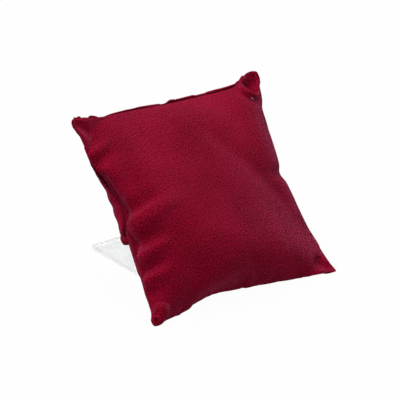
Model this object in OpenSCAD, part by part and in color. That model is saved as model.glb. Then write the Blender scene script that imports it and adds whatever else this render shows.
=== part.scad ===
// Square velvet display cushion that leans back on an easel of bent clear acrylic.
// The easel is one strip. Its upright slips into a pocket sewn over the cushion's upper back.
// +X runs along the cushion's lower edge, +Y points to the back and +Z up, in millimetres.
// The origin is on the table, at the centre of the footprint.

/* [Cushion] */
// Width from corner to corner
cushion_w = 100; // [85:1:120]
// Height from corner to corner, along the slope
cushion_h = 97; // [90:1:115]
// Height of the stuffed crown above the seam
crown = 19; // [15:0.5:22]
// Depth of the back where the upright presses it flat
back_depth = 11.5; // [9:0.5:14]
// How far the left and right sides pull in between their corners
side_pull = 6; // [3:0.5:8]
// How far the top and bottom edges pull in between their corners
edge_pull = 4; // [3:0.5:8]
// Thickness of the velvet with its pile
velvet_t = 1; // [0.8:0.1:1.4]
// Angle that the cushion leans back from upright
lean = 38.5; // [34:0.5:42]

/* [Pocket] */
// Height of the pocket's open hem above the lower corners, along the slope
hem_height = 37; // [32:1:44]
// Free space between the upright and the pocket
slot_gap = 0.3; // [0.3:0.1:0.6]

/* [Easel] */
// Width of the acrylic strip
strip_w = 52; // [44:1:56]
// Thickness of the acrylic strip
strip_t = 2; // [1.5:0.5:3]
// Inside radius of the bend
bend_r = 3; // [2:0.5:5]
// Height of the upright's top end, along the slope
upright_top = 78; // [70:1:80]
// Distance from the cushion's lower corners to the back end of the base
footprint_d = 82; // [76:1:95]

/* [Sewing] */
// Thickness of the thread
thread_d = 0.4; // [0.3:0.1:0.5]
// Distance from one hem stitch to the next
hem_pitch = 3; // [2.5:0.5:4]
// Distance from one stitch of the outer seam to the next
seam_pitch = 4; // [3:0.5:6]
// Length of the hand-sewn opening in the lower seam
closing_length = 45; // [30:5:60]

/* [Hidden] */
$fn = 48;

velvet_red = [0.55, 0.06, 0.16];
thread_red = [0.42, 0.03, 0.10];
fibre_white = [0.95, 0.95, 0.93];
clear_acrylic = [0.92, 0.96, 0.97, 0.35];

half_w = cushion_w / 2;
half_h = cushion_h / 2;
seam_gap = 0.1;          // between the rims of the front and back panels
skin_gap = 0.2;          // between two layers that lie on each other
press_sharpness = 6;     // how suddenly the crown goes over to the flat of the back
strip_front = back_depth + 0.5;
strip_back = strip_front + strip_t;
slot_side_gap = 1.5;     // beside and above the upright, inside the pocket

// Columns and rows of the velvet surfaces, as angles from seam to seam. They include the edges
// of the slot and the hem, so that every layer has its points at the same places.
slot_col = asin((strip_w / 2 + slot_side_gap) / (half_w - side_pull));
slot_row = asin((upright_top + slot_side_gap - half_h) / (half_h - edge_pull));
hem_row = asin((hem_height - half_h) / (half_h - edge_pull));
columns = concat(steps(-90, -slot_col, 6), steps(-slot_col, slot_col, 8), steps(slot_col, 90, 6), [90]);
rows_below_hem = steps(-90, hem_row, 9);
pocket_rows = concat(steps(hem_row, slot_row, 7), steps(slot_row, 90, 5), [90]);
rows = concat(rows_below_hem, pocket_rows);

// Values from one angle up to, and without, another
function steps(from, to, count) = [for (k = [0 : count - 1]) from + (to - from) * k / count];

// Across and up-slope places of a point, on a surface that lies off millimetres outside the velvet
function across(a, b, off) = sin(a) * (half_w + off - side_pull * pow(cos(b), 2));
function upslope(a, b, off) = half_h + sin(b) * (half_h + off - edge_pull * pow(cos(a), 2));

// Distance of a surface from the seam: a crown, and a crown that stops smoothly at a limit
function crowned(a, b, off) = seam_gap / 2 + (crown + off) * cos(a) * cos(b);
function pressed(t, limit) =
    t * limit / pow(pow(t, press_sharpness) + pow(limit, press_sharpness), 1 / press_sharpness);
function flattened(a, b, off) = seam_gap / 2 + pressed((crown + off) * cos(a) * cos(b), back_depth + off);

function front_point(a, b, off) = [across(a, b, off), -crowned(a, b, off), upslope(a, b, off)];
function back_point(a, b, off) = [across(a, b, off), flattened(a, b, off), upslope(a, b, off)];

// The pocket lies on the back panel, and stands off it over the slot for the upright
function over_slot(a, b) = abs(a) <= slot_col + 0.01 && b <= slot_row + 0.01;
function pocket_depth(a, b, layer) =
    max(flattened(a, b, skin_gap + layer), over_slot(a, b) ? strip_back + slot_gap + layer : 0);
function pocket_point(a, b, layer) =
    [across(a, b, skin_gap + layer), pocket_depth(a, b, layer), upslope(a, b, skin_gap + layer)];

// Triangles of a grid whose points start at index base. Each diagonal runs towards the nearest corner.
function cell(base, i, j, nx, mirrored, facing_back) =
    let (p00 = base + j * (nx + 1) + i, p10 = p00 + 1, p01 = p00 + nx + 1, p11 = p01 + 1,
         two = mirrored ? [[p00, p01, p10], [p10, p01, p11]] : [[p00, p01, p11], [p00, p11, p10]])
    facing_back ? [for (t = two) [t[2], t[1], t[0]]] : two;
function grid(base, nx, ny, middle_row, facing_back) =
    [for (j = [0 : ny - 1], i = [0 : nx - 1])
        each cell(base, i, j, nx, (i < nx / 2) != (j < middle_row), facing_back)];

// Indices round the edge of a grid, and the band that joins two such edges
function edge_loop(nx, ny) = concat(
    [for (i = [0 : nx - 1]) i],
    [for (j = [0 : ny - 1]) j * (nx + 1) + nx],
    [for (i = [nx : -1 : 1]) ny * (nx + 1) + i],
    [for (j = [ny : -1 : 1]) j * (nx + 1)]);
function band(loop, shift, facing_back) =
    [for (k = [0 : len(loop) - 1])
        let (p = loop[k], q = loop[(k + 1) % len(loop)])
        each (facing_back ? [[q, p, q + shift], [q + shift, p, p + shift]]
                          : [[p, q, q + shift], [p, q + shift, p + shift]])];

// A sheet of velvet between an outer and an inner surface
module velvet_sheet(outer, inner, nx, ny, middle_row, facing_back) {
    polyhedron(
        points = concat(outer, inner),
        faces = concat(
            grid(0, nx, ny, middle_row, facing_back),
            grid(len(outer), nx, ny, middle_row, !facing_back),
            band(edge_loop(nx, ny), len(outer), facing_back)));
}

// A straight stitch between two points
module stitch(from, to) {
    run = to - from;
    translate(from)
        rotate([0, acos(run[2] / norm(run)), atan2(run[1], run[0])])
            cylinder(h = norm(run), d = thread_d, $fn = 16);
}

// Stands the cushion's own plane, drawn upright, on its lower corners and leans it back
module leaned_back() {
    translate([0, -footprint_d / 2, 0])
        rotate([-lean, 0, 0])
            children();
}

// Points along an arc round a centre, from one angle to another
function arc(centre, r, from, to, count) =
    [for (k = [0 : count]) let (t = from + (to - from) * k / count) centre + r * [cos(t), sin(t)]];

// One flat strip, bent once. The section is drawn as depth and height, then extruded across.
module acrylic_easel() {
    outer_r = bend_r + strip_t;
    table_angle = 90 - lean;
    front_foot = strip_front / cos(lean);
    bend_centre = [front_foot + outer_r / tan(table_angle / 2), outer_r];
    up = [sin(lean), cos(lean)];
    top_front = [front_foot, 0] + up * (upright_top - front_foot * sin(lean));
    top_back = top_front + strip_t * [cos(lean), -sin(lean)];
    section = concat(
        [[footprint_d, 0]],
        arc(bend_centre, outer_r, 270, 180 - lean, 24),
        [top_front, top_back],
        arc(bend_centre, bend_r, 180 - lean, 270, 24),
        [[footprint_d, strip_t]]);
    color(clear_acrylic)
        translate([0, -footprint_d / 2, 0])
            rotate([90, 0, 90])
                linear_extrude(strip_w, center = true)
                    polygon(section);
}

module front_panel() {
    nx = len(columns) - 1;
    ny = len(rows) - 1;
    color(velvet_red)
        leaned_back()
            velvet_sheet(
                [for (b = rows, a = columns) front_point(a, b, 0)],
                [for (b = rows, a = columns) front_point(a, b, -velvet_t)],
                nx, ny, ny / 2, false);
}

module back_panel() {
    nx = len(columns) - 1;
    ny = len(rows) - 1;
    color(velvet_red)
        leaned_back()
            velvet_sheet(
                [for (b = rows, a = columns) back_point(a, b, 0)],
                [for (b = rows, a = columns) back_point(a, b, -velvet_t)],
                nx, ny, ny / 2, true);
}

module pocket_panel() {
    nx = len(columns) - 1;
    ny = len(pocket_rows) - 1;
    color(velvet_red)
        leaned_back()
            velvet_sheet(
                [for (b = pocket_rows, a = columns) pocket_point(a, b, velvet_t)],
                [for (b = pocket_rows, a = columns) pocket_point(a, b, 0)],
                nx, ny, 0, true);
}

// The two faces of the filling share the points of their edge
module fibre_filling() {
    nx = len(columns) - 1;
    ny = len(rows) - 1;
    inside = -velvet_t - skin_gap;
    count = (nx + 1) * (ny + 1);
    front = [for (b = rows, a = columns) front_point(a, b, inside) + [0, seam_gap / 2, 0]];
    back = [for (b = rows, a = columns) back_point(a, b, inside) - [0, seam_gap / 2, 0]];
    edge = edge_loop(nx, ny);
    back_faces = [for (t = grid(0, nx, ny, ny / 2, true))
        [for (p = t) len(search(p, edge)) > 0 ? p : p + count]];
    color(fibre_white)
        leaned_back()
            polyhedron(
                points = concat(front, back),
                faces = concat(grid(0, nx, ny, ny / 2, false), back_faces));
}

// Stitches through both panels, all round and just inside their edge
module seam_stitches() {
    reach = velvet_t / 2;
    inset = -velvet_t / 2;
    corner_clearance = 10;
    last = floor((half_w - corner_clearance) / seam_pitch);
    color(thread_red)
        leaned_back()
            for (k = [-last : last], side = [-90, 90]) {
                turn = asin(k * seam_pitch / half_w);
                upright_side = [across(side, turn, inset), 0, upslope(side, turn, inset)];
                level_side = [across(turn, side, inset), 0, upslope(turn, side, inset)];
                for (p = [upright_side, level_side])
                    stitch(p - [0, reach, 0], p + [0, reach, 0]);
            }
}

// A machine-sewn row that holds down the pocket's turned-up hem
module hem_stitches() {
    above_hem = 6;
    side_clearance = 4;
    thread_share = 0.72;     // of each pitch that a stitch covers
    b = asin((hem_height + above_hem - half_h) / (half_h - edge_pull));
    profile = [for (a = columns)
        [across(a, b, skin_gap + velvet_t), max(hem_depth(a, b), hem_depth(a, hem_row))]];
    last = floor((half_w - side_pull - side_clearance) / hem_pitch);
    half_stitch = hem_pitch * thread_share / 2;
    lift = thread_d / 2 + skin_gap;
    color(thread_red)
        leaned_back()
            for (k = [-last : last]) {
                x = k * hem_pitch;
                stitch([x - half_stitch, lookup(x - half_stitch, profile) + lift, hem_height + above_hem],
                       [x + half_stitch, lookup(x + half_stitch, profile) + lift, hem_height + above_hem]);
            }
}
function hem_depth(a, b) = pocket_depth(a, b, velvet_t);

// Ladder stitches that close the lower seam after stuffing
module closing_stitches() {
    pitch = 3.5;
    slant = 1;
    reach = 0.9;
    below_seam = thread_d / 2 + skin_gap;
    last = floor(closing_length / 2 / pitch);
    color(thread_red)
        leaned_back()
            for (k = [-last : last]) {
                x = k * pitch;
                z = edge_pull * pow(cos(asin(x / half_w)), 2) - below_seam;
                stitch([x - slant / 2, -reach, z - slant / 4], [x + slant / 2, reach, z - slant / 4]);
            }
}

acrylic_easel();
front_panel();
back_panel();
pocket_panel();
fibre_filling();
seam_stitches();
hem_stitches();
closing_stitches();
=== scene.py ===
"""Velvet display cushion that leans on an easel of bent clear acrylic.

The cushion is sewn and stuffed here by cloth simulation: two square cuts meet in a seam that is drawn in
to its finished outline while pressure fills them, with the easel's upright against the back. A third cut,
the pocket, is then laid over the back and the upright. All lengths are metres unless a name says mm.
"""

import math

import bmesh
import bpy
from mathutils import Matrix, Vector, noise


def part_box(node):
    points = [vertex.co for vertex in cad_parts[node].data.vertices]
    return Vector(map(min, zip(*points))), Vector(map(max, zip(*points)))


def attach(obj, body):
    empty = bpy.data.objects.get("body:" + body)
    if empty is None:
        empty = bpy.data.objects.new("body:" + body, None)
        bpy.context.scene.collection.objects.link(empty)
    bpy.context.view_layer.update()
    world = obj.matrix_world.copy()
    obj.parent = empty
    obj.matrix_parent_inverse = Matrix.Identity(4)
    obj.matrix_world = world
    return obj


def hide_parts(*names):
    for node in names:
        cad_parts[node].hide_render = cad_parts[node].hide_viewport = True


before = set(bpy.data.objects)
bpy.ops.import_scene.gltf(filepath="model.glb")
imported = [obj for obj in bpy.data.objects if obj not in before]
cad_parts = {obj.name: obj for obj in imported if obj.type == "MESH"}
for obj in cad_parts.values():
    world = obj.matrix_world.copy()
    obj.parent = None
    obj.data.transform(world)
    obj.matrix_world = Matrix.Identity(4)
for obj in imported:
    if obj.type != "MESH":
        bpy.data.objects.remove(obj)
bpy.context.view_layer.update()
MM = 0.001

# The easel's strip and the way the cushion stands on it
LEAN = math.radians(38.5)
FOOTPRINT_D = 82 * MM
STRIP_W = 52 * MM
STRIP_T = 2 * MM
BEND_R = 3 * MM
STRIP_FRONT = 12 * MM
UPRIGHT_TOP = 78 * MM
EASEL_LOW, EASEL_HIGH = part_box("acrylic_easel")
CUSHION_FRONT_Y = EASEL_HIGH[1] - FOOTPRINT_D

# The velvet, as cut and as sewn
CUT_W = 105 * MM
CUT_H = 102 * MM
VELVET_T = 1.0 * MM
MIDDLE_V = 48.5 * MM
HEM_FOLD = 6 * MM
THREAD_D = 0.4 * MM

# The cloth simulation runs at ten times the real size, which its solver likes better
SIM_SCALE = 10
CELLS = 80
SEW_FRAMES = 20
SETTLE_FRAMES = 40

# Finished outline of the seam in mm: across, up the slope, and forward of the cushion's own plane
CORNER_LOW_LEFT = (-50.5, -0.5, 1.5)
CORNER_LOW_RIGHT = (48.5, -2.5, 4)
CORNER_TOP_LEFT = (-49.5, 98, 0)
CORNER_TOP_RIGHT = (52, 97, 0)
SEAM_SIDES = {
    "left": [CORNER_LOW_LEFT, (-49, 9, -0.5), (-46.5, 20, -1), (-42, 40, -2), (-40, 56, -2),
             (-43, 69, -2.5), (-49.5, 78, -2), (-51, 88, -1), CORNER_TOP_LEFT],
    "right": [CORNER_LOW_RIGHT, (51, 1, 2), (50, 8, -1), (46, 25, -2), (44, 38, -2), (42, 48, -2),
              (45, 56, -2), (46, 66, -2), (48.5, 72, -2), (47, 78, -2), (51, 84, -1), (53, 90, -0.5),
              CORNER_TOP_RIGHT],
    "top": [CORNER_TOP_LEFT, (-44, 103, -1.5), (-34, 104, -4), (-22, 102, -5.5), (-8, 98, -6.5),
            (10, 96.5, -6.5), (28, 97, -5.5), (34, 96, -4), (38, 91.5, -2), (41, 96, -1), (45, 98, -0.5),
            CORNER_TOP_RIGHT],
    "bottom": [CORNER_LOW_LEFT, (-36, 1, -0.5), (-26, 4, -0.5), (-15, 5.5, -0.5), (0, 4, -0.5),
               (16, 2, -0.5), (30, 0, 0), (41, -3.5, 3.5), CORNER_LOW_RIGHT],
}

TUCK_DEPTH = 1.3
# Puckers of the front panel, in mm: (across, up) of the foot on the seam and of the head, then height
# and half width
TUCKS = [
    ((-46, 81), (-36, 85), 1.5, 2),
    ((-46, 77), (-34, 80), -0.8, 3),
    ((-41, 52), (-29, 55), -1.4, 3),
    ((-42, 45), (-20, 51), 2, 3.5),
    ((-42, 37), (-30, 38), -1.2, 2.5),
    ((-43, 31), (-32, 33), 1.4, 2),
    ((-44, 25), (-34, 26), -1.4, 2),
    ((-46, 20), (-36, 21), 1.2, 2),
    ((-47, 14), (-40, 14), -0.8, 2),
    ((41, 48), (32, 48), -1.2, 2.5),
]

LEANED_BACK = Matrix.Translation((0, CUSHION_FRONT_Y, 0)) @ Matrix.Rotation(math.pi / 2 - LEAN, 4, "X")


# ---------------------------------------------------------------- small helpers


def new_object(name, bm, material=None):
    """Puts a bmesh into the scene as an object at the origin."""
    mesh = bpy.data.meshes.new(name)
    bm.to_mesh(mesh)
    bm.free()
    piece = bpy.data.objects.new(name, mesh)
    bpy.context.collection.objects.link(piece)
    if material:
        mesh.materials.append(material)
    return piece


def smooth(piece):
    """Shades a piece smoothly."""
    for face in piece.data.polygons:
        face.use_smooth = True


def subdivide(piece, levels):
    """Adds a subdivision surface that renders as it shows."""
    finish = piece.modifiers.new("subdivision", "SUBSURF")
    finish.levels = levels
    finish.render_levels = levels


def smooth_curve(points, count):
    """Points evenly spaced along a smooth curve through the given ones."""
    ends = [2 * points[0] - points[1], *points, 2 * points[-1] - points[-2]]
    fine = []
    steps = 30
    for before, a, b, after in zip(ends, ends[1:], ends[2:], ends[3:]):
        for k in range(steps):
            t = k / steps
            fine.append(0.5 * (2 * a + (b - before) * t + (2 * before - 5 * a + 4 * b - after) * t ** 2
                               + (3 * a - 3 * b + after - before) * t ** 3))
    fine.append(points[-1].copy())
    lengths = [0]
    for p, q in zip(fine, fine[1:]):
        lengths.append(lengths[-1] + (q - p).length)
    spaced = []
    k = 0
    for i in range(count):
        target = lengths[-1] * i / (count - 1)
        while k < len(fine) - 2 and lengths[k + 1] < target:
            k += 1
        share = (target - lengths[k]) / max(lengths[k + 1] - lengths[k], 1e-9)
        spaced.append(fine[k].lerp(fine[k + 1], min(share, 1)))
    return spaced


def remove(piece):
    """Takes a helper object and its mesh out of the file."""
    mesh = piece.data
    bpy.data.objects.remove(piece)
    bpy.data.meshes.remove(mesh)


# ---------------------------------------------------------------- the seam and the cuts


SEAM_WAVE = 0.5 * MM        # how far the seam wanders out of the cushion's plane
SEAM_WAVE_PITCH = 7 * MM


def seam_curve(side):
    """One side of the seam, evenly spaced, in the cushion's plane."""
    points = [MM * Vector(place) for place in SEAM_SIDES[side]]
    curve = smooth_curve(points, CELLS + 1)
    for p in curve:
        p.z += SEAM_WAVE * noise.noise(p / SEAM_WAVE_PITCH)
    return curve


SEAM = {side: seam_curve(side) for side in SEAM_SIDES}


def sewn_place(i, j):
    """Where column i, row j of a cut lies once its edges are in the seam, before it is filled."""
    a, b = i / CELLS, j / CELLS
    sides = SEAM["left"][j].lerp(SEAM["right"][j], a) + SEAM["bottom"][i].lerp(SEAM["top"][i], b)
    corners = SEAM["bottom"][0].lerp(SEAM["bottom"][-1], a).lerp(SEAM["top"][0].lerp(SEAM["top"][-1], a), b)
    return sides - corners


WAIST = 0.055               # share by which the easing at the seam narrows a cut half way up


def cut_place(i, j):
    """Where column i, row j of a cut lies while it is flat."""
    up = 2 * j / CELLS - 1
    width = CUT_W * (1 - WAIST * (1 - up * up))
    return Vector(((i / CELLS - 0.5) * width, up / 2 * CUT_H + MIDDLE_V, 0))


def on_edge(i, j):
    return i in (0, CELLS) or j in (0, CELLS)


def cloth_sheet(bm, first_row, facing):
    """One cut as a grid in bm. Each vertex keeps its column, row and the side that it faces."""
    tag = bm.verts.layers.float_vector.get("grid") or bm.verts.layers.float_vector.new("grid")
    made = bmesh.ops.create_grid(bm, x_segments=CELLS, y_segments=CELLS - first_row, size=1)["verts"]
    rows = CELLS - first_row
    for vert in made:
        i = round((vert.co.x + 1) / 2 * CELLS)
        j = first_row + round((vert.co.y + 1) / 2 * rows)
        vert[tag] = (i, j, facing)
    if facing < 0:
        faces = {face for vert in made for face in vert.link_faces}
        bmesh.ops.reverse_faces(bm, faces=list(faces))
    return made


def map_cut(bm):
    """Gives each face its place on the flat cut as UV, with the back beside the front."""
    tag = bm.verts.layers.float_vector["grid"]
    uv = bm.loops.layers.uv.new("cut")
    for face in bm.faces:
        facing = face.normal.z
        for loop in face.loops:
            i, j, _ = loop.vert[tag]
            shift = 0 if facing > 0 else 1.5 * CUT_W
            loop[uv].uv = (i / CELLS * CUT_W + shift, j / CELLS * CUT_H)


# ---------------------------------------------------------------- cloth simulation


def solid_block(name, low, high, thickness):
    """A box that the cloth can't pass, in the cushion's plane at the simulation's scale."""
    bm = bmesh.new()
    bmesh.ops.create_cube(bm, size=1)
    for vert in bm.verts:
        for axis in range(3):
            vert.co[axis] = (low[axis] if vert.co[axis] < 0 else high[axis]) * SIM_SCALE
    return make_solid(new_object(name, bm), thickness)


def solid_table():
    """The table's surface, tilted as the cushion's plane sees it."""
    bm = bmesh.new()
    bmesh.ops.create_cube(bm, size=2)
    depth = 20 * MM
    bmesh.ops.scale(bm, verts=bm.verts[:], vec=(120 * MM, 120 * MM, depth))
    bmesh.ops.translate(bm, verts=bm.verts[:], vec=(0, 0, -depth))
    bm.transform(Matrix.Scale(SIM_SCALE, 4) @ Matrix.Rotation(LEAN - math.pi / 2, 4, "X"))
    return make_solid(new_object("solid_table", bm), 0.1 * MM)


def make_solid(piece, thickness):
    """Lets cloth collide with a piece."""
    piece.modifiers.new("solid", "COLLISION")
    piece.collision.thickness_outer = thickness * SIM_SCALE
    return piece


def run_cloth(piece, pressure, bending, shrink, clearance, gravity):
    """Simulates a piece whose held vertices move from the cut to the seam; its mesh keeps the result."""
    group = piece.vertex_groups.new(name="held")
    group.add(range(len(piece.data.vertices)), 0, "REPLACE")
    tags = piece.data.attributes["grid"].data
    edge = {k for k, tag in enumerate(tags) if on_edge(round(tag.vector.x), round(tag.vector.y))}
    group.add(list(edge), SEAM_HOLD, "REPLACE")
    sewing = piece.data.shape_keys.key_blocks["sewn"]
    for value, at in ((0, 1), (1, SEW_FRAMES)):
        sewing.value = value
        sewing.keyframe_insert("value", frame=at)
    cloth = piece.modifiers.new("cloth", "CLOTH")
    cloth.point_cache.frame_start = 1
    cloth.point_cache.frame_end = SETTLE_FRAMES
    settings = cloth.settings
    settings.vertex_group_mass = "held"
    settings.quality = 8
    settings.mass = 0.3
    settings.air_damping = 1
    settings.tension_stiffness = 60
    settings.compression_stiffness = 60
    settings.shear_stiffness = 60
    settings.bending_stiffness = bending
    settings.tension_damping = settings.compression_damping = settings.shear_damping = 5
    eased = piece.vertex_groups.new(name="eased")
    eased.add([k for k, tag in enumerate(tags) if tag.vector.z < 0 and k not in edge], 1, "REPLACE")
    settings.vertex_group_shrink = "eased"
    settings.shrink_max = shrink
    settings.use_pressure = pressure > 0
    settings.uniform_pressure_force = pressure
    settings.effector_weights.gravity = gravity
    cloth.collision_settings.collision_quality = 3
    cloth.collision_settings.distance_min = clearance * SIM_SCALE
    for at in range(1, SETTLE_FRAMES + 1):
        bpy.context.scene.frame_set(at)
    settled = piece.evaluated_get(bpy.context.evaluated_depsgraph_get()).data
    places = [vert.co.copy() for vert in settled.vertices]
    piece.shape_key_clear()
    mesh = piece.data
    for vert, place in zip(mesh.vertices, places):
        vert.co = place
    bpy.data.objects.remove(piece)
    bpy.context.scene.frame_set(1)
    return mesh


def lay_out(bm, cut_shape):
    """Moves the grid vertices of a cloth mesh to their places on the flat cut, at the simulation's scale."""
    tag = bm.verts.layers.float_vector["grid"]
    for vert in bm.verts:
        vert.co = cut_shape(*(round(value) for value in vert[tag])) * SIM_SCALE


def add_sewn_key(piece, sewn_shape):
    """Stores where each vertex goes when the edges are sewn, as a shape key."""
    piece.shape_key_add(name="flat")
    key = piece.shape_key_add(name="sewn")
    for point, tag in zip(key.data, piece.data.attributes["grid"].data):
        point.co = sewn_shape(*(round(value) for value in tag.vector)) * SIM_SCALE


STUFFING_START = 3 * MM     # height of the flat cuts' first swell, which tells the pressure its way
STUFFING_LUMP = 0.3 * MM
LUMP_PITCH = 0.25           # of half a cut
PRESSURE = 6
PANEL_BENDING = 2.0
INNER_SOFTENING, EDGE_SOFTENING = 20, 3        # rounds of smoothing that take out the finest wrinkles
BACK_SHRINK, POCKET_SHRINK = 0.008, 0.02       # how much the back and the pocket are eased in
POCKET_BENDING = 0.3
SEAM_HOLD = 0.75


def stuffed(i, j, facing):
    """A cut's flat place with a slight uneven swell."""
    a, b = 2 * i / CELLS - 1, 2 * j / CELLS - 1
    place = cut_place(i, j)
    if not on_edge(i, j):
        lump = noise.noise(Vector((a, b, 0.8 * facing)) / LUMP_PITCH)
        place.z = facing * STUFFING_START * math.sqrt((1 - a * a) * (1 - b * b)) + STUFFING_LUMP * lump
    return place


def simulate_cushion():
    """The stuffed cushion, as one closed mesh in the cushion's plane, at the simulation's scale."""
    bm = bmesh.new()
    for facing in (1, -1):
        cloth_sheet(bm, 0, facing)
    tag = bm.verts.layers.float_vector["grid"]
    edge = [vert for vert in bm.verts if on_edge(round(vert[tag][0]), round(vert[tag][1]))]
    bmesh.ops.remove_doubles(bm, verts=edge, dist=1e-4)
    map_cut(bm)
    lay_out(bm, stuffed)
    cushion = new_object("cloth_cushion", bm)
    add_sewn_key(cushion, lambda i, j, _: sewn_place(i, j))
    upright = solid_block("solid_upright", (-STRIP_W / 2, 6 * MM, -60 * MM),
                          (STRIP_W / 2, UPRIGHT_TOP, -STRIP_FRONT), 0.3 * MM)
    table = solid_table()
    settled = run_cloth(cushion, PRESSURE, PANEL_BENDING, BACK_SHRINK, 0.2 * MM, 0)
    remove(upright)
    remove(table)
    soften(settled, 1, EDGE_SOFTENING)
    soften(settled, 4, INNER_SOFTENING)
    roll_top(settled)
    soften(settled, 2, CORNER_SOFTENING, near_corners=True)
    plump_corners(settled)
    press_tucks(settled)
    rest_on_table(settled)
    return settled


CORNER_SOFTENING = 16
CORNER_SHARE = 0.24         # of the width and height


def soften(mesh, margin, rounds, near_corners=False):
    """Smooths a settled sheet while a margin of so many cells along its seam stays where it is."""
    bm = bmesh.new()
    bm.from_mesh(mesh)
    tag = bm.verts.layers.float_vector["grid"]
    free = [vert for vert in bm.verts
            if all(margin <= round(vert[tag][axis]) <= CELLS - margin for axis in (0, 1))]
    if near_corners:
        free = [vert for vert in free
                if all(abs(vert[tag][axis] / CELLS - 0.5) > 0.5 - CORNER_SHARE for axis in (0, 1))]
    for _ in range(rounds):
        bmesh.ops.smooth_vert(bm, verts=free, factor=0.5, use_axis_x=True, use_axis_y=True, use_axis_z=True)
    bm.to_mesh(mesh)
    bm.free()


TOP_ROLL = 0.12             # share of the height over which the upper seam is rounded off


def roll_top(mesh):
    """Rounds off the upper seam, which the stuffing rolls over to the back."""
    bm = bmesh.new()
    bm.from_mesh(mesh)
    tag = bm.verts.layers.float_vector["grid"]
    clear = round(CELLS * TOP_ROLL)
    rounds = 40
    for k in range(rounds):
        margin = clear * (0.5 + k / rounds)
        free = [vert for vert in bm.verts
                if round(vert[tag][1]) > CELLS - clear and margin < round(vert[tag][0]) < CELLS - margin - 3]
        bmesh.ops.smooth_vert(bm, verts=free, factor=0.5, use_axis_x=True, use_axis_y=True, use_axis_z=True)
    bm.to_mesh(mesh)
    bm.free()


# The turned-in seam allowances fill each corner: (distance inwards from its tip, radius) in mm
CORNER_BALLS = [(3, 3), (5.5, 3.4), (8.5, 3.9)]
EAR_SHARE = 1.35            # the upper right corner stands up like an ear, and holds more


def plump_corners(mesh):
    """Rounds and fills the four corners."""
    bm = bmesh.new()
    bm.from_mesh(mesh)
    tag = bm.verts.layers.float_vector["grid"]
    tips = [v for v in bm.verts if round(v[tag][0]) in (0, CELLS) and round(v[tag][1]) in (0, CELLS)]
    middle = Vector((0, MIDDLE_V * SIM_SCALE, 0))
    for tip in [t.co.copy() for t in tips]:
        unit = MM * SIM_SCALE * (EAR_SHARE if min(tip.x, tip.y - middle.y) > 0 else 1)
        tip_radius = CORNER_BALLS[0][1] * unit
        inwards = (middle - tip).normalized()
        for vert in bm.verts:
            away = vert.co - tip - inwards * tip_radius
            if away.dot(inwards) < 0 and away.length < 2 * tip_radius:
                vert.co += away.normalized() * (tip_radius - away.length)
        around = [vert for vert in bm.verts if (vert.co - tip).length < 14 * unit]
        for _ in range(4):
            bmesh.ops.smooth_vert(bm, verts=around, factor=0.3,
                                  use_axis_x=True, use_axis_y=True, use_axis_z=True)
            for distance, radius in CORNER_BALLS:
                centre = tip + inwards * distance * unit
                for vert in around:
                    away = vert.co - centre
                    if away.length < radius * unit:
                        vert.co = centre + away.normalized() * radius * unit
    bm.to_mesh(mesh)
    bm.free()


def rest_on_table(mesh):
    """Flattens what would reach below the table."""
    back = LEANED_BACK.inverted()
    for vert in mesh.vertices:
        place = LEANED_BACK @ (vert.co / SIM_SCALE)
        place.z = max(place.z, 0.3 * MM)
        vert.co = (back @ place) * SIM_SCALE


def press_tucks(mesh):
    """Raises and sinks the front panel's puckers. Each fades out towards its head."""
    tags = mesh.attributes["grid"].data
    for vert, tag in zip(mesh.vertices, tags):
        if tag.vector.z < 0 or on_edge(round(tag.vector.x), round(tag.vector.y)):
            continue
        place = vert.co.xy / SIM_SCALE / MM
        rise = 0
        for foot, head, height, half_width in TUCKS:
            foot, head = Vector(foot), Vector(head)
            run = head - foot
            along = (place - foot).dot(run) / run.length_squared
            aside = (place - foot - along * run).length / half_width
            if -0.5 < along < 1.4:
                fade = math.cos(max(0, min(1, along / 1.4)) * math.pi / 2) ** 2
                rise += TUCK_DEPTH * height * fade * math.exp(-aside * aside)
        vert.co += vert.normal * rise * MM * SIM_SCALE


FIRST_POCKET_ROW = round(CELLS * 0.385)
POCKET_EASE = 1.09          # the pocket's cut is this much taller than the back that it covers


def simulate_pocket(cushion):
    """The pocket panel, as an open sheet. It lies over the cushion's back and the easel's upright."""
    bm = bmesh.new()
    cloth_sheet(bm, FIRST_POCKET_ROW, -1)
    map_cut(bm)
    top = cut_place(0, CELLS).y

    def flat(i, j, _):
        place = cut_place(i, j)
        waves = 1.5 * MM * noise.noise(place / (6 * MM))
        return Vector((place.x, top + (place.y - top) * POCKET_EASE, -20 * MM + waves))

    lay_out(bm, flat)
    pocket = new_object("cloth_pocket", bm)
    seam = {}
    for vert, tag in zip(cushion.vertices, cushion.attributes["grid"].data):
        i, j = round(tag.vector.x), round(tag.vector.y)
        if on_edge(i, j):
            seam[(i, j)] = vert.co / SIM_SCALE - Vector((0, 0, 0.3 * MM))
    add_sewn_key(pocket, lambda i, j, _: seam.get((i, j)) or sewn_place(i, j))
    body = bpy.data.objects.new("solid_cushion", cushion.copy())
    bpy.context.collection.objects.link(body)
    make_solid(body, 0.2 * MM)
    upright = solid_block("solid_upright", (-STRIP_W / 2, 6 * MM, -STRIP_FRONT - STRIP_T),
                          (STRIP_W / 2, UPRIGHT_TOP, -6 * MM), 0.3 * MM)
    gravity = bpy.context.scene.gravity.copy()
    bpy.context.scene.gravity = (0, 0, 9.8)
    settled = run_cloth(pocket, 0, POCKET_BENDING, POCKET_SHRINK, 0.2 * MM, 0.1)
    bpy.context.scene.gravity = gravity
    remove(body)
    remove(upright)
    soften(settled, 1, EDGE_SOFTENING)
    gather_sides(settled)
    return settled


GATHER_HEIGHT, GATHER_PITCH = 0.6 * MM, 8.5 * MM


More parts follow.
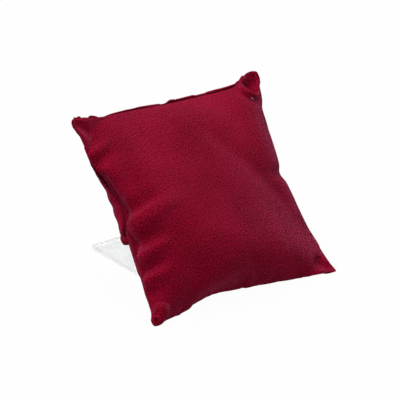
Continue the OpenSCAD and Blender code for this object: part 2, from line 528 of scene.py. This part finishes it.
def gather_sides(mesh):
    """Scallops the pocket where its fullness is gathered into the side seams."""
    reach = CELLS * 0.1
    for vert, tag in zip(mesh.vertices, mesh.attributes["grid"].data):
        inwards = min(tag.vector.x, CELLS - tag.vector.x)
        up = vert.co.y / SIM_SCALE
        if 0 < inwards < reach:
            turn = 2 * math.pi * up / GATHER_PITCH + 1.5 * noise.noise(Vector((0, up, 0)) / (12 * MM))
            fade = math.sin(math.pi * inwards / reach)
            vert.co += vert.normal * fade * GATHER_HEIGHT * SIM_SCALE * (0.5 + 0.5 * math.sin(turn))


# ---------------------------------------------------------------- materials


def node(tree, kind, **inputs):
    """A shader node with its inputs set by name."""
    made = tree.nodes.new(kind)
    for name, value in inputs.items():
        made.inputs[name.replace("_", " ")].default_value = value
    return made


def group(name, inputs, outputs):
    """An empty node group with float, colour and vector sockets."""
    made = bpy.data.node_groups.new(name, "ShaderNodeTree")
    kinds = {"value": "NodeSocketFloat", "colour": "NodeSocketColor", "vector": "NodeSocketVector"}
    for side, sockets in (("INPUT", inputs), ("OUTPUT", outputs)):
        for socket, kind in sockets.items():
            made.interface.new_socket(socket, in_out=side, socket_type=kinds[kind])
    made.nodes.new("NodeGroupInput")
    made.nodes.new("NodeGroupOutput")
    return made


def placed(tree, shared, **inputs):
    """A node group placed in a material, with its values."""
    made = tree.nodes.new("ShaderNodeGroup")
    made.node_tree = shared
    for name, value in inputs.items():
        made.inputs[name.replace("_", " ")].default_value = value
    return made


def math_node(tree, operation, a, b=None, clamp=False):
    made = tree.nodes.new("ShaderNodeMath")
    made.operation = operation
    made.use_clamp = clamp
    for socket, value in zip(made.inputs, (a, b)):
        if isinstance(value, bpy.types.NodeSocket):
            tree.links.new(value, socket)
        elif value is not None:
            socket.default_value = value
    return made.outputs[0]


def blend_node(tree, factor, a, b):
    made = tree.nodes.new("ShaderNodeMix")
    made.data_type = "RGBA"
    for socket, value in ((made.inputs[0], factor), (made.inputs[6], a), (made.inputs[7], b)):
        if isinstance(value, bpy.types.NodeSocket):
            tree.links.new(value, socket)
        else:
            socket.default_value = value
    return made.outputs[2]


def noise_node(tree, vector, scale, detail, roughness=0.5):
    made = node(tree, "ShaderNodeTexNoise", Detail=detail, Roughness=roughness)
    tree.links.new(vector, made.inputs["Vector"])
    if isinstance(scale, bpy.types.NodeSocket):
        tree.links.new(scale, made.inputs["Scale"])
    else:
        made.inputs["Scale"].default_value = scale
    return made.outputs["Fac"]


TUFT_SHARE, FIBRE_SHARE = 0.7, 0.3
FIBRES_PER_TUFT = 2.7
GRAIN_CONTRAST = 4.2
PILE_LIGHTNESS = 0.42
SPECKS_PER_M = 95
SPECK_REACH = 0.045         # share of the distance between the pale specks, which are partly loose fibres and partly painted glints


def pile_group():
    """The pile of a napped cloth: its uneven tone in tufts and crushed patches, painted shade down in the pile,
    painted sheen on its tips, and pale specks that are partly loose fibres and partly painted glints.
    """
    shared = group("cloth pile",
                   {"Vector": "vector", "Deep": "colour", "Tip": "colour", "Lint": "colour",
                    "Tufts per m": "value", "Patches per m": "value", "Patch share": "value", "Lint share": "value"},
                   {"Colour": "colour", "Roughness": "value", "Height": "value"})
    tree = shared
    given, result = tree.nodes["Group Input"], tree.nodes["Group Output"]
    vector = given.outputs["Vector"]
    tufts = noise_node(tree, vector, given.outputs["Tufts per m"], 2.5, 0.65)
    finer = math_node(tree, "MULTIPLY", given.outputs["Tufts per m"], FIBRES_PER_TUFT)
    fibres = noise_node(tree, vector, finer, 1.5)
    patches = noise_node(tree, vector, given.outputs["Patches per m"], 3, 0.55)
    grain = math_node(tree, "ADD", math_node(tree, "MULTIPLY", tufts, TUFT_SHARE),
                      math_node(tree, "MULTIPLY", fibres, FIBRE_SHARE))
    spread = math_node(tree, "MULTIPLY", math_node(tree, "SUBTRACT", grain, 0.5), GRAIN_CONTRAST)
    crushed = math_node(tree, "MULTIPLY", math_node(tree, "SUBTRACT", patches, 0.5),
                        given.outputs["Patch share"])
    lift = math_node(tree, "ADD", math_node(tree, "ADD", spread, crushed), PILE_LIGHTNESS, clamp=True)
    # Low pile takes the Deep colour, painted shade down among the fibres, and raised pile the Tip colour, painted
    # sheen on their tips; the rest is the nap's own uneven tone.
    colour = blend_node(tree, lift, given.outputs["Deep"], given.outputs["Tip"])
    # Pale specks: partly loose fibres on the pile, partly painted glints where single fibres catch the light.
    specks = tree.nodes.new("ShaderNodeTexVoronoi")
    specks.inputs["Scale"].default_value = SPECKS_PER_M
    tree.links.new(vector, specks.inputs["Vector"])
    near = math_node(tree, "LESS_THAN", specks.outputs["Distance"], SPECK_REACH)
    chance = tree.nodes.new("ShaderNodeSeparateColor")
    tree.links.new(specks.outputs["Color"], chance.inputs[0])
    chosen = math_node(tree, "LESS_THAN", chance.outputs[0], given.outputs["Lint share"])
    lint_and_glint = math_node(tree, "MULTIPLY", near, chosen)
    colour = blend_node(tree, lint_and_glint, colour, given.outputs["Lint"])
    tree.links.new(colour, result.inputs["Colour"])
    tree.links.new(math_node(tree, "SUBTRACT", 1.0, math_node(tree, "MULTIPLY", lift, 0.18)),
                   result.inputs["Roughness"])
    tree.links.new(math_node(tree, "ADD", lift, lint_and_glint), result.inputs["Height"])
    return shared


def twist_group():
    """The plies of a twisted thread, with painted shade: the colour darkens into the grooves between the plies,
    where the height is lowest.
    """
    shared = group("thread twist",
                   {"Vector": "vector", "Dark": "colour", "Light": "colour", "Turns per m": "value"},
                   {"Colour": "colour", "Height": "value"})
    given, result = shared.nodes["Group Input"], shared.nodes["Group Output"]
    wave = shared.nodes.new("ShaderNodeTexWave")
    wave.bands_direction = "DIAGONAL"
    wave.inputs["Distortion"].default_value = 0.6
    shared.links.new(given.outputs["Vector"], wave.inputs["Vector"])
    shared.links.new(given.outputs["Turns per m"], wave.inputs["Scale"])
    shared.links.new(blend_node(shared, wave.outputs["Fac"], given.outputs["Dark"], given.outputs["Light"]),
                     result.inputs["Colour"])
    shared.links.new(wave.outputs["Fac"], result.inputs["Height"])
    return shared


def handling_group():
    """Faint smears and dust on a polished surface."""
    shared = group("handling marks",
                   {"Vector": "vector", "Smears per m": "value", "Polish": "value", "Haze": "value"},
                   {"Roughness": "value", "Height": "value"})
    given, result = shared.nodes["Group Input"], shared.nodes["Group Output"]
    smears = noise_node(shared, given.outputs["Vector"], given.outputs["Smears per m"], 4, 0.6)
    haze = math_node(shared, "MULTIPLY", math_node(shared, "POWER", smears, 4), given.outputs["Haze"])
    shared.links.new(math_node(shared, "ADD", haze, given.outputs["Polish"]), result.inputs["Roughness"])
    shared.links.new(smears, result.inputs["Height"])
    return shared


def start_material(name, colour):
    material = bpy.data.materials.new(name)
    material.use_nodes = True
    material.diffuse_color = (*colour, 1)
    tree = material.node_tree
    shader = tree.nodes["Principled BSDF"]
    shader.inputs["Base Color"].default_value = (*colour, 1)
    coordinates = tree.nodes.new("ShaderNodeTexCoord")
    return material, tree, shader, coordinates


def add_bump(tree, shader, height, strength, distance):
    bump = node(tree, "ShaderNodeBump", Strength=strength, Distance=distance)
    tree.links.new(height, bump.inputs["Height"])
    tree.links.new(bump.outputs["Normal"], shader.inputs["Normal"])


def velvet_material(pile):
    material, tree, shader, coordinates = start_material("burgundy velvet", (0.25, 0.008, 0.03))
    # Deep is the velvet's dark red deepened with painted shade in the pile; Tip is its red lightened with painted
    # pinkish sheen on the fibre tips.
    cloth = placed(tree, pile, Deep=(0.085, 0.0, 0.001, 1), Tip=(0.43, 0.006, 0.043, 1),
                   # the pale speck colour: partly loose fibres, partly painted glints
                   Lint=(0.6, 0.3, 0.28, 1),
                   Tufts_per_m=1500, Patches_per_m=45, Patch_share=0.6, Lint_share=0.1)
    tree.links.new(coordinates.outputs["UV"], cloth.inputs["Vector"])
    tree.links.new(cloth.outputs["Colour"], shader.inputs["Base Color"])
    tree.links.new(cloth.outputs["Roughness"], shader.inputs["Roughness"])
    shader.inputs["Specular IOR Level"].default_value = 0.02
    shader.inputs["Sheen Weight"].default_value = 0.32
    shader.inputs["Sheen Roughness"].default_value = 0.33
    shader.inputs["Sheen Tint"].default_value = (1.0, 0.24, 0.5, 1)
    add_bump(tree, shader, cloth.outputs["Height"], 0.6, 0.6 * MM)
    return material


def thread_material(twist):
    material, tree, shader, coordinates = start_material("burgundy thread", (0.2, 0.008, 0.03))
    # Dark is the thread's red with painted shade for the grooves between the plies, Light its red on their crowns.
    plies = placed(tree, twist, Dark=(0.1, 0.003, 0.012, 1), Light=(0.36, 0.02, 0.06, 1), Turns_per_m=1800)
    tree.links.new(coordinates.outputs["Object"], plies.inputs["Vector"])
    tree.links.new(plies.outputs["Colour"], shader.inputs["Base Color"])
    shader.inputs["Roughness"].default_value = 0.6
    shader.inputs["Specular IOR Level"].default_value = 0.08
    add_bump(tree, shader, plies.outputs["Height"], 0.6, 0.05 * MM)
    return material


def fibre_material(pile):
    material, tree, shader, coordinates = start_material("white fibre", (0.85, 0.85, 0.82))
    # Deep and Tip paint shade down in the wool and light on the tips of its fibres.
    wool = placed(tree, pile, Deep=(0.7, 0.7, 0.67, 1), Tip=(0.93, 0.93, 0.91, 1), Lint=(0.9, 0.9, 0.9, 1),
                  Tufts_per_m=500, Patches_per_m=80, Patch_share=1.2, Lint_share=0)
    tree.links.new(coordinates.outputs["Object"], wool.inputs["Vector"])
    tree.links.new(wool.outputs["Colour"], shader.inputs["Base Color"])
    tree.links.new(wool.outputs["Roughness"], shader.inputs["Roughness"])
    shader.inputs["Sheen Weight"].default_value = 0.4
    add_bump(tree, shader, wool.outputs["Height"], 0.8, 1.5 * MM)
    return material


def acrylic_material(marks):
    """Clear acrylic. Light for shadows passes straight through, so the sheet hardly darkens the table."""
    material, tree, shader, coordinates = start_material("clear acrylic", (0.97, 0.98, 0.985))
    smears = placed(tree, marks, Smears_per_m=90, Polish=0.015, Haze=0.25)
    tree.links.new(coordinates.outputs["Object"], smears.inputs["Vector"])
    tree.links.new(smears.outputs["Roughness"], shader.inputs["Roughness"])
    shader.inputs["IOR"].default_value = 1.49
    shader.inputs["Transmission Weight"].default_value = 1
    clear = node(tree, "ShaderNodeBsdfTransparent", Color=(0.95, 0.955, 0.96, 1))
    choose = tree.nodes.new("ShaderNodeMixShader")
    rays = tree.nodes.new("ShaderNodeLightPath")
    see_through = 0.5
    tree.links.new(math_node(tree, "MAXIMUM", rays.outputs["Is Shadow Ray"], see_through), choose.inputs[0])
    tree.links.new(shader.outputs[0], choose.inputs[1])
    tree.links.new(clear.outputs[0], choose.inputs[2])
    tree.links.new(choose.outputs[0], tree.nodes["Material Output"].inputs["Surface"])
    return material


# ---------------------------------------------------------------- pieces of the cushion


def half_of(settled, name, facing, material):
    """The front or back panel's outer face, cut from the settled cushion along the seam, in metres."""
    bm = bmesh.new()
    bm.from_mesh(settled)
    uv = bm.loops.layers.uv["cut"]
    drop = [face for face in bm.faces
            if (sum(loop[uv].uv.x for loop in face.loops) / 4 > 1.25 * CUT_W) != (facing < 0)]
    bmesh.ops.delete(bm, geom=drop, context="FACES")
    bm.transform(LEANED_BACK @ Matrix.Scale(1 / SIM_SCALE, 4))
    return new_object(name, bm, material)


def line_with(piece, thickness, outwards=False, group_name=None, thin_share=0):
    """Gives a sheet its thickness."""
    wall = piece.modifiers.new("thickness", "SOLIDIFY")
    wall.thickness = thickness
    wall.offset = 1 if outwards else -1
    wall.use_even_offset = False
    if group_name:
        wall.vertex_group = group_name
        wall.thickness_vertex_group = thin_share


THIN_AT_SEAM = 0.25         # the seam pinches the velvet


def make_panel(settled, name, facing, material):
    panel = half_of(settled, name, facing, material)
    walls = panel.vertex_groups.new(name="thickness")
    for vert, tag in zip(panel.data.vertices, panel.data.attributes["grid"].data):
        seamed = on_edge(round(tag.vector.x), round(tag.vector.y))
        walls.add([vert.index], THIN_AT_SEAM if seamed else 1, "REPLACE")
    line_with(panel, VELVET_T, group_name="thickness")
    subdivide(panel, 1)
    smooth(panel)
    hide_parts(name_of_node(name))
    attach(panel, "cushion")
    return panel


def name_of_node(name):
    return {"velvet_front": "front_panel", "velvet_back": "back_panel"}[name]


FILLING_GAP = 1.6 * MM


THINNEST_STUFFED = 7 * MM   # where the panels lie closer than this there is no stuffing between them


def stuffed_cell(places, i, j):
    """The nearest column and row towards the middle where the cushion is thick enough for stuffing."""
    half = CELLS // 2
    while (places[(i, j, 1)][0] - places[(i, j, -1)][0]).length < THINNEST_STUFFED and (i, j) != (half, half):
        side, level = half - i, half - j
        if abs(side) >= abs(level):
            i += int(math.copysign(1, side))
        if abs(level) >= abs(side):
            j += int(math.copysign(1, level))
    return i, j


def make_filling(settled, material):
    """The stuffing: the cushion's own shape less the velvet."""
    places = placed_on(settled)
    bm = bmesh.new()
    bm.from_mesh(settled)
    tag = bm.verts.layers.float_vector["grid"]
    for vert in bm.verts:
        i, j, facing = (round(value) for value in vert[tag])
        place, normal = places[(*stuffed_cell(places, i, j), facing or 1)]
        vert.co = place - normal * (VELVET_T + FILLING_GAP)
    bmesh.ops.remove_doubles(bm, verts=bm.verts[:], dist=0.01 * MM)
    filling = new_object("stuffing", bm, material)
    smooth(filling)
    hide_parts("fibre_filling")
    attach(filling, "cushion")
    return filling


POCKET_WALL = 1.8 * VELVET_T        # the hem's two layers
HEM_WEIGHT, STITCH_WEIGHT, PLAIN_WEIGHT = 1.0, 0.45, 0.58
HEM_SURFACE = POCKET_WALL * STITCH_WEIGHT


def make_pocket(settled, material):
    bm = bmesh.new()
    bm.from_mesh(settled)
    bm.transform(LEANED_BACK @ Matrix.Scale(1 / SIM_SCALE, 4))
    pocket = new_object("velvet_pocket", bm, material)
    hem = pocket.vertex_groups.new(name="thickness")
    tags = pocket.data.attributes["grid"].data
    for vert, tag in zip(pocket.data.vertices, tags):
        above = (tag.vector.y - FIRST_POCKET_ROW) / CELLS * CUT_H
        weight = HEM_WEIGHT if above < HEM_FOLD - 1.2 * MM else STITCH_WEIGHT
        weight = weight if above < HEM_FOLD + 0.6 * MM else PLAIN_WEIGHT
        hem.add([vert.index], weight, "REPLACE")
    line_with(pocket, POCKET_WALL, outwards=True, group_name="thickness")
    subdivide(pocket, 1)
    smooth(pocket)
    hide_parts("pocket_panel")
    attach(pocket, "cushion")
    return pocket


# ---------------------------------------------------------------- thread


def placed_on(mesh):
    """Where each grid vertex of a settled mesh lies, with its normal. The seam belongs to both sides."""
    turned = LEANED_BACK.to_3x3()
    found = {}
    for vert, tag in zip(mesh.vertices, mesh.attributes["grid"].data):
        i, j, facing = (round(value) for value in tag.vector)
        for side in (1, -1) if on_edge(i, j) else (facing,):
            found[(i, j, side)] = (LEANED_BACK @ (vert.co / SIM_SCALE), turned @ vert.normal)
    return found


def make_stitches(name, runs, replaced, material):
    """One piece of many short threads. Each run is the two ends of a stitch."""
    bm = bmesh.new()
    for start, end in runs:
        along = end - start
        made = bmesh.ops.create_uvsphere(bm, u_segments=8, v_segments=6, radius=THREAD_D / 2)["verts"]
        stretch = Vector((0, 0, max(along.length - THREAD_D, 0) / 2))
        for vert in made:
            vert.co += stretch if vert.co.z > 0 else -stretch
        place = Matrix.Translation((start + end) / 2) @ along.to_track_quat("Z", "Y").to_matrix().to_4x4()
        bmesh.ops.transform(bm, matrix=place, verts=made)
    piece = new_object(name, bm, material)
    smooth(piece)
    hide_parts(replaced)
    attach(piece, "cushion")
    return piece


def seam_runs(cushion_places):
    """Machine stitches along the seam, sunk between the panels' edges."""
    ring = [(i, 0) for i in range(CELLS)] + [(CELLS, j) for j in range(CELLS)]
    ring += [(i, CELLS) for i in range(CELLS, 0, -1)] + [(0, j) for j in range(CELLS, 0, -1)]
    runs = []
    pitch = 2
    clear = 5
    for k in range(0, len(ring) - pitch, pitch):
        if k % CELLS < clear or k % CELLS > CELLS - clear:
            continue
        start, normal = cushion_places[(*ring[k], 1)]
        end, _ = cushion_places[(*ring[k + 1], 1)]
        sunk = normal * THREAD_D * 1.3
        runs.append((start - sunk, start.lerp(end, 1.6) - sunk))
    return runs


CLOSING_FIRST, CLOSING_LAST = round(CELLS * 0.28), round(CELLS * 0.72)


def closing_runs(cushion_places):
    """Hand-sewn ladder stitches that cross the lower seam from the front panel to the back panel."""
    runs = []
    step = 3
    for i in range(CLOSING_FIRST, CLOSING_LAST, step):
        front, front_normal = cushion_places[(i, 1, 1)]
        back, back_normal = cushion_places[(i + 1, 1, -1)]
        proud = -THREAD_D * 0.3
        runs.append((front + front_normal * proud, back + back_normal * proud))
    return runs


def hem_runs(pocket_places):
    """The machine row that holds down the pocket's hem."""
    row = FIRST_POCKET_ROW + round(HEM_FOLD / CUT_H * CELLS)
    runs = []
    step = 2
    edge = 3
    stitch_share = 0.72
    for i in range(edge, CELLS - edge, step):
        start, normal = pocket_places[(i, row, -1)]
        end, end_normal = pocket_places[(i + step, row, -1)]
        lift = HEM_SURFACE + THREAD_D * 0.3
        start, end = start + normal * lift, end + end_normal * lift
        trim = (1 - stitch_share) / 2
        runs.append((start.lerp(end, trim), start.lerp(end, 1 - trim)))
    return runs


# ---------------------------------------------------------------- easel


def make_easel(material):
    """One strip of acrylic, drawn as its bent section and extruded across."""
    outer_r = BEND_R + STRIP_T
    front_foot = STRIP_FRONT / math.cos(LEAN)
    centre = Vector((front_foot + outer_r / math.tan((math.pi / 2 - LEAN) / 2), outer_r))
    up = Vector((math.sin(LEAN), math.cos(LEAN)))
    across_strip = Vector((math.cos(LEAN), -math.sin(LEAN)))
    top_front = Vector((front_foot, 0)) + up * (UPRIGHT_TOP - front_foot * math.sin(LEAN))
    bend_steps = 16
    turn_total = 1.5 * math.pi - (math.pi - LEAN)

    def bend(radius, k):
        t = 1.5 * math.pi - turn_total * k / bend_steps
        return centre + radius * Vector((math.cos(t), math.sin(t)))

    section = [Vector((FOOTPRINT_D, 0))]
    section += [bend(outer_r, k) for k in range(bend_steps + 1)]
    section += [top_front, top_front + STRIP_T * across_strip]
    section += [bend(BEND_R, k) for k in range(bend_steps, -1, -1)]
    section += [Vector((FOOTPRINT_D, STRIP_T))]
    bm = bmesh.new()
    verts = [bm.verts.new((-STRIP_W / 2, CUSHION_FRONT_Y + p.x, p.y)) for p in section]
    face = bm.faces.new(verts)
    extruded = bmesh.ops.extrude_face_region(bm, geom=[face])["geom"]
    far_side = [g for g in extruded if isinstance(g, bmesh.types.BMVert)]
    bmesh.ops.translate(bm, verts=far_side, vec=(STRIP_W, 0, 0))
    bmesh.ops.recalc_face_normals(bm, faces=bm.faces[:])
    sharp = [edge for edge in bm.edges if edge.calc_face_angle(0) > math.radians(40)]
    bmesh.ops.bevel(bm, geom=sharp, offset=0.25 * MM, offset_type="OFFSET", segments=3, profile=0.5,
                    affect="EDGES", material=-1)
    easel = new_object("easel_strip", bm, material)
    smooth(easel)
    easel.data.set_sharp_from_angle(angle=math.radians(35))
    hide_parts("acrylic_easel")
    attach(easel, "easel")
    return easel


# ---------------------------------------------------------------- stage, light and camera


def make_stage():
    bm = bmesh.new()
    bmesh.ops.create_grid(bm, x_segments=1, y_segments=1, size=6)
    floor_drop = 0.2 * MM
    bmesh.ops.translate(bm, verts=bm.verts[:], vec=(0, 0, -floor_drop))
    material = bpy.data.materials.new("white table")
    material.use_nodes = True
    tree = material.node_tree
    shader = tree.nodes["Principled BSDF"]
    shader.inputs["Base Color"].default_value = (0.45, 0.45, 0.45, 1)
    shader.inputs["Roughness"].default_value = 0.9
    glow = node(tree, "ShaderNodeEmission", Color=(1, 1, 1, 1), Strength=1.0)
    choose = tree.nodes.new("ShaderNodeMixShader")
    rays = tree.nodes.new("ShaderNodeLightPath")
    unlit = math_node(tree, "MAXIMUM", rays.outputs["Is Camera Ray"], rays.outputs["Is Transmission Ray"])
    seen = math_node(tree, "MULTIPLY", unlit, 0.97)
    tree.links.new(seen, choose.inputs[0])
    tree.links.new(shader.outputs[0], choose.inputs[1])
    tree.links.new(glow.outputs[0], choose.inputs[2])
    tree.links.new(choose.outputs[0], tree.nodes["Material Output"].inputs["Surface"])
    new_object("white_table", bm, material)


def area_light(name, place, size, watts, aim=(0, 0, 0.04)):
    light = bpy.data.lights.new(name, "AREA")
    light.energy = watts
    light.size = size
    lamp = bpy.data.objects.new(name, light)
    bpy.context.collection.objects.link(lamp)
    lamp.location = place
    lamp.rotation_euler = (Vector(aim) - Vector(place)).to_track_quat("-Z", "Y").to_euler()


def make_lights():
    area_light("top_softbox", (-0.1, 0.35, 1.1), 0.9, 19.5)
    area_light("front_fill", (-0.7, -1.0, 0.5), 0.8, 2.3)
    world = bpy.data.worlds.new("white studio")
    bpy.context.scene.world = world
    world.use_nodes = True
    tree = world.node_tree
    background = tree.nodes["Background"]
    background.inputs["Color"].default_value = (1, 1, 1, 1)
    rays = tree.nodes.new("ShaderNodeLightPath")
    studio = 0.24
    shown = math_node(tree, "SUBTRACT", 1, rays.outputs["Is Diffuse Ray"])
    tree.links.new(math_node(tree, "MAXIMUM", shown, studio), background.inputs["Strength"])
    bpy.context.scene.view_settings.view_transform = "Standard"


def make_camera():
    aim = Vector((0.0005, -0.0064, 0.0346))
    azimuth, elevation, distance = math.radians(-36.8), math.radians(24.2), 1.4
    seen_width = 0.1795
    data = bpy.data.cameras.new("camera")
    data.sensor_width = 36
    data.lens = data.sensor_width * distance / seen_width
    data.clip_end = 20
    camera = bpy.data.objects.new("camera", data)
    bpy.context.collection.objects.link(camera)
    away = Vector((math.sin(azimuth) * math.cos(elevation), -math.cos(azimuth) * math.cos(elevation),
                   math.sin(elevation)))
    camera.location = aim + distance * away
    camera.rotation_euler = away.to_track_quat("Z", "Y").to_euler()
    bpy.context.scene.camera = camera


# ---------------------------------------------------------------- the whole


make_camera()
make_stage()
make_lights()
pile = pile_group()
velvet = velvet_material(pile)
thread = thread_material(twist_group())
acrylic = acrylic_material(handling_group())
cushion = simulate_cushion()
pocket_sheet = simulate_pocket(cushion)
make_easel(acrylic)
make_panel(cushion, "velvet_front", 1, velvet)
make_panel(cushion, "velvet_back", -1, velvet)
make_pocket(pocket_sheet, velvet)
make_filling(cushion, fibre_material(pile))
cushion_places = placed_on(cushion)
make_stitches("seam_thread", seam_runs(cushion_places), "seam_stitches", thread)
make_stitches("closing_thread", closing_runs(cushion_places), "closing_stitches", thread)
make_stitches("hem_thread", hem_runs(placed_on(pocket_sheet)), "hem_stitches", thread)
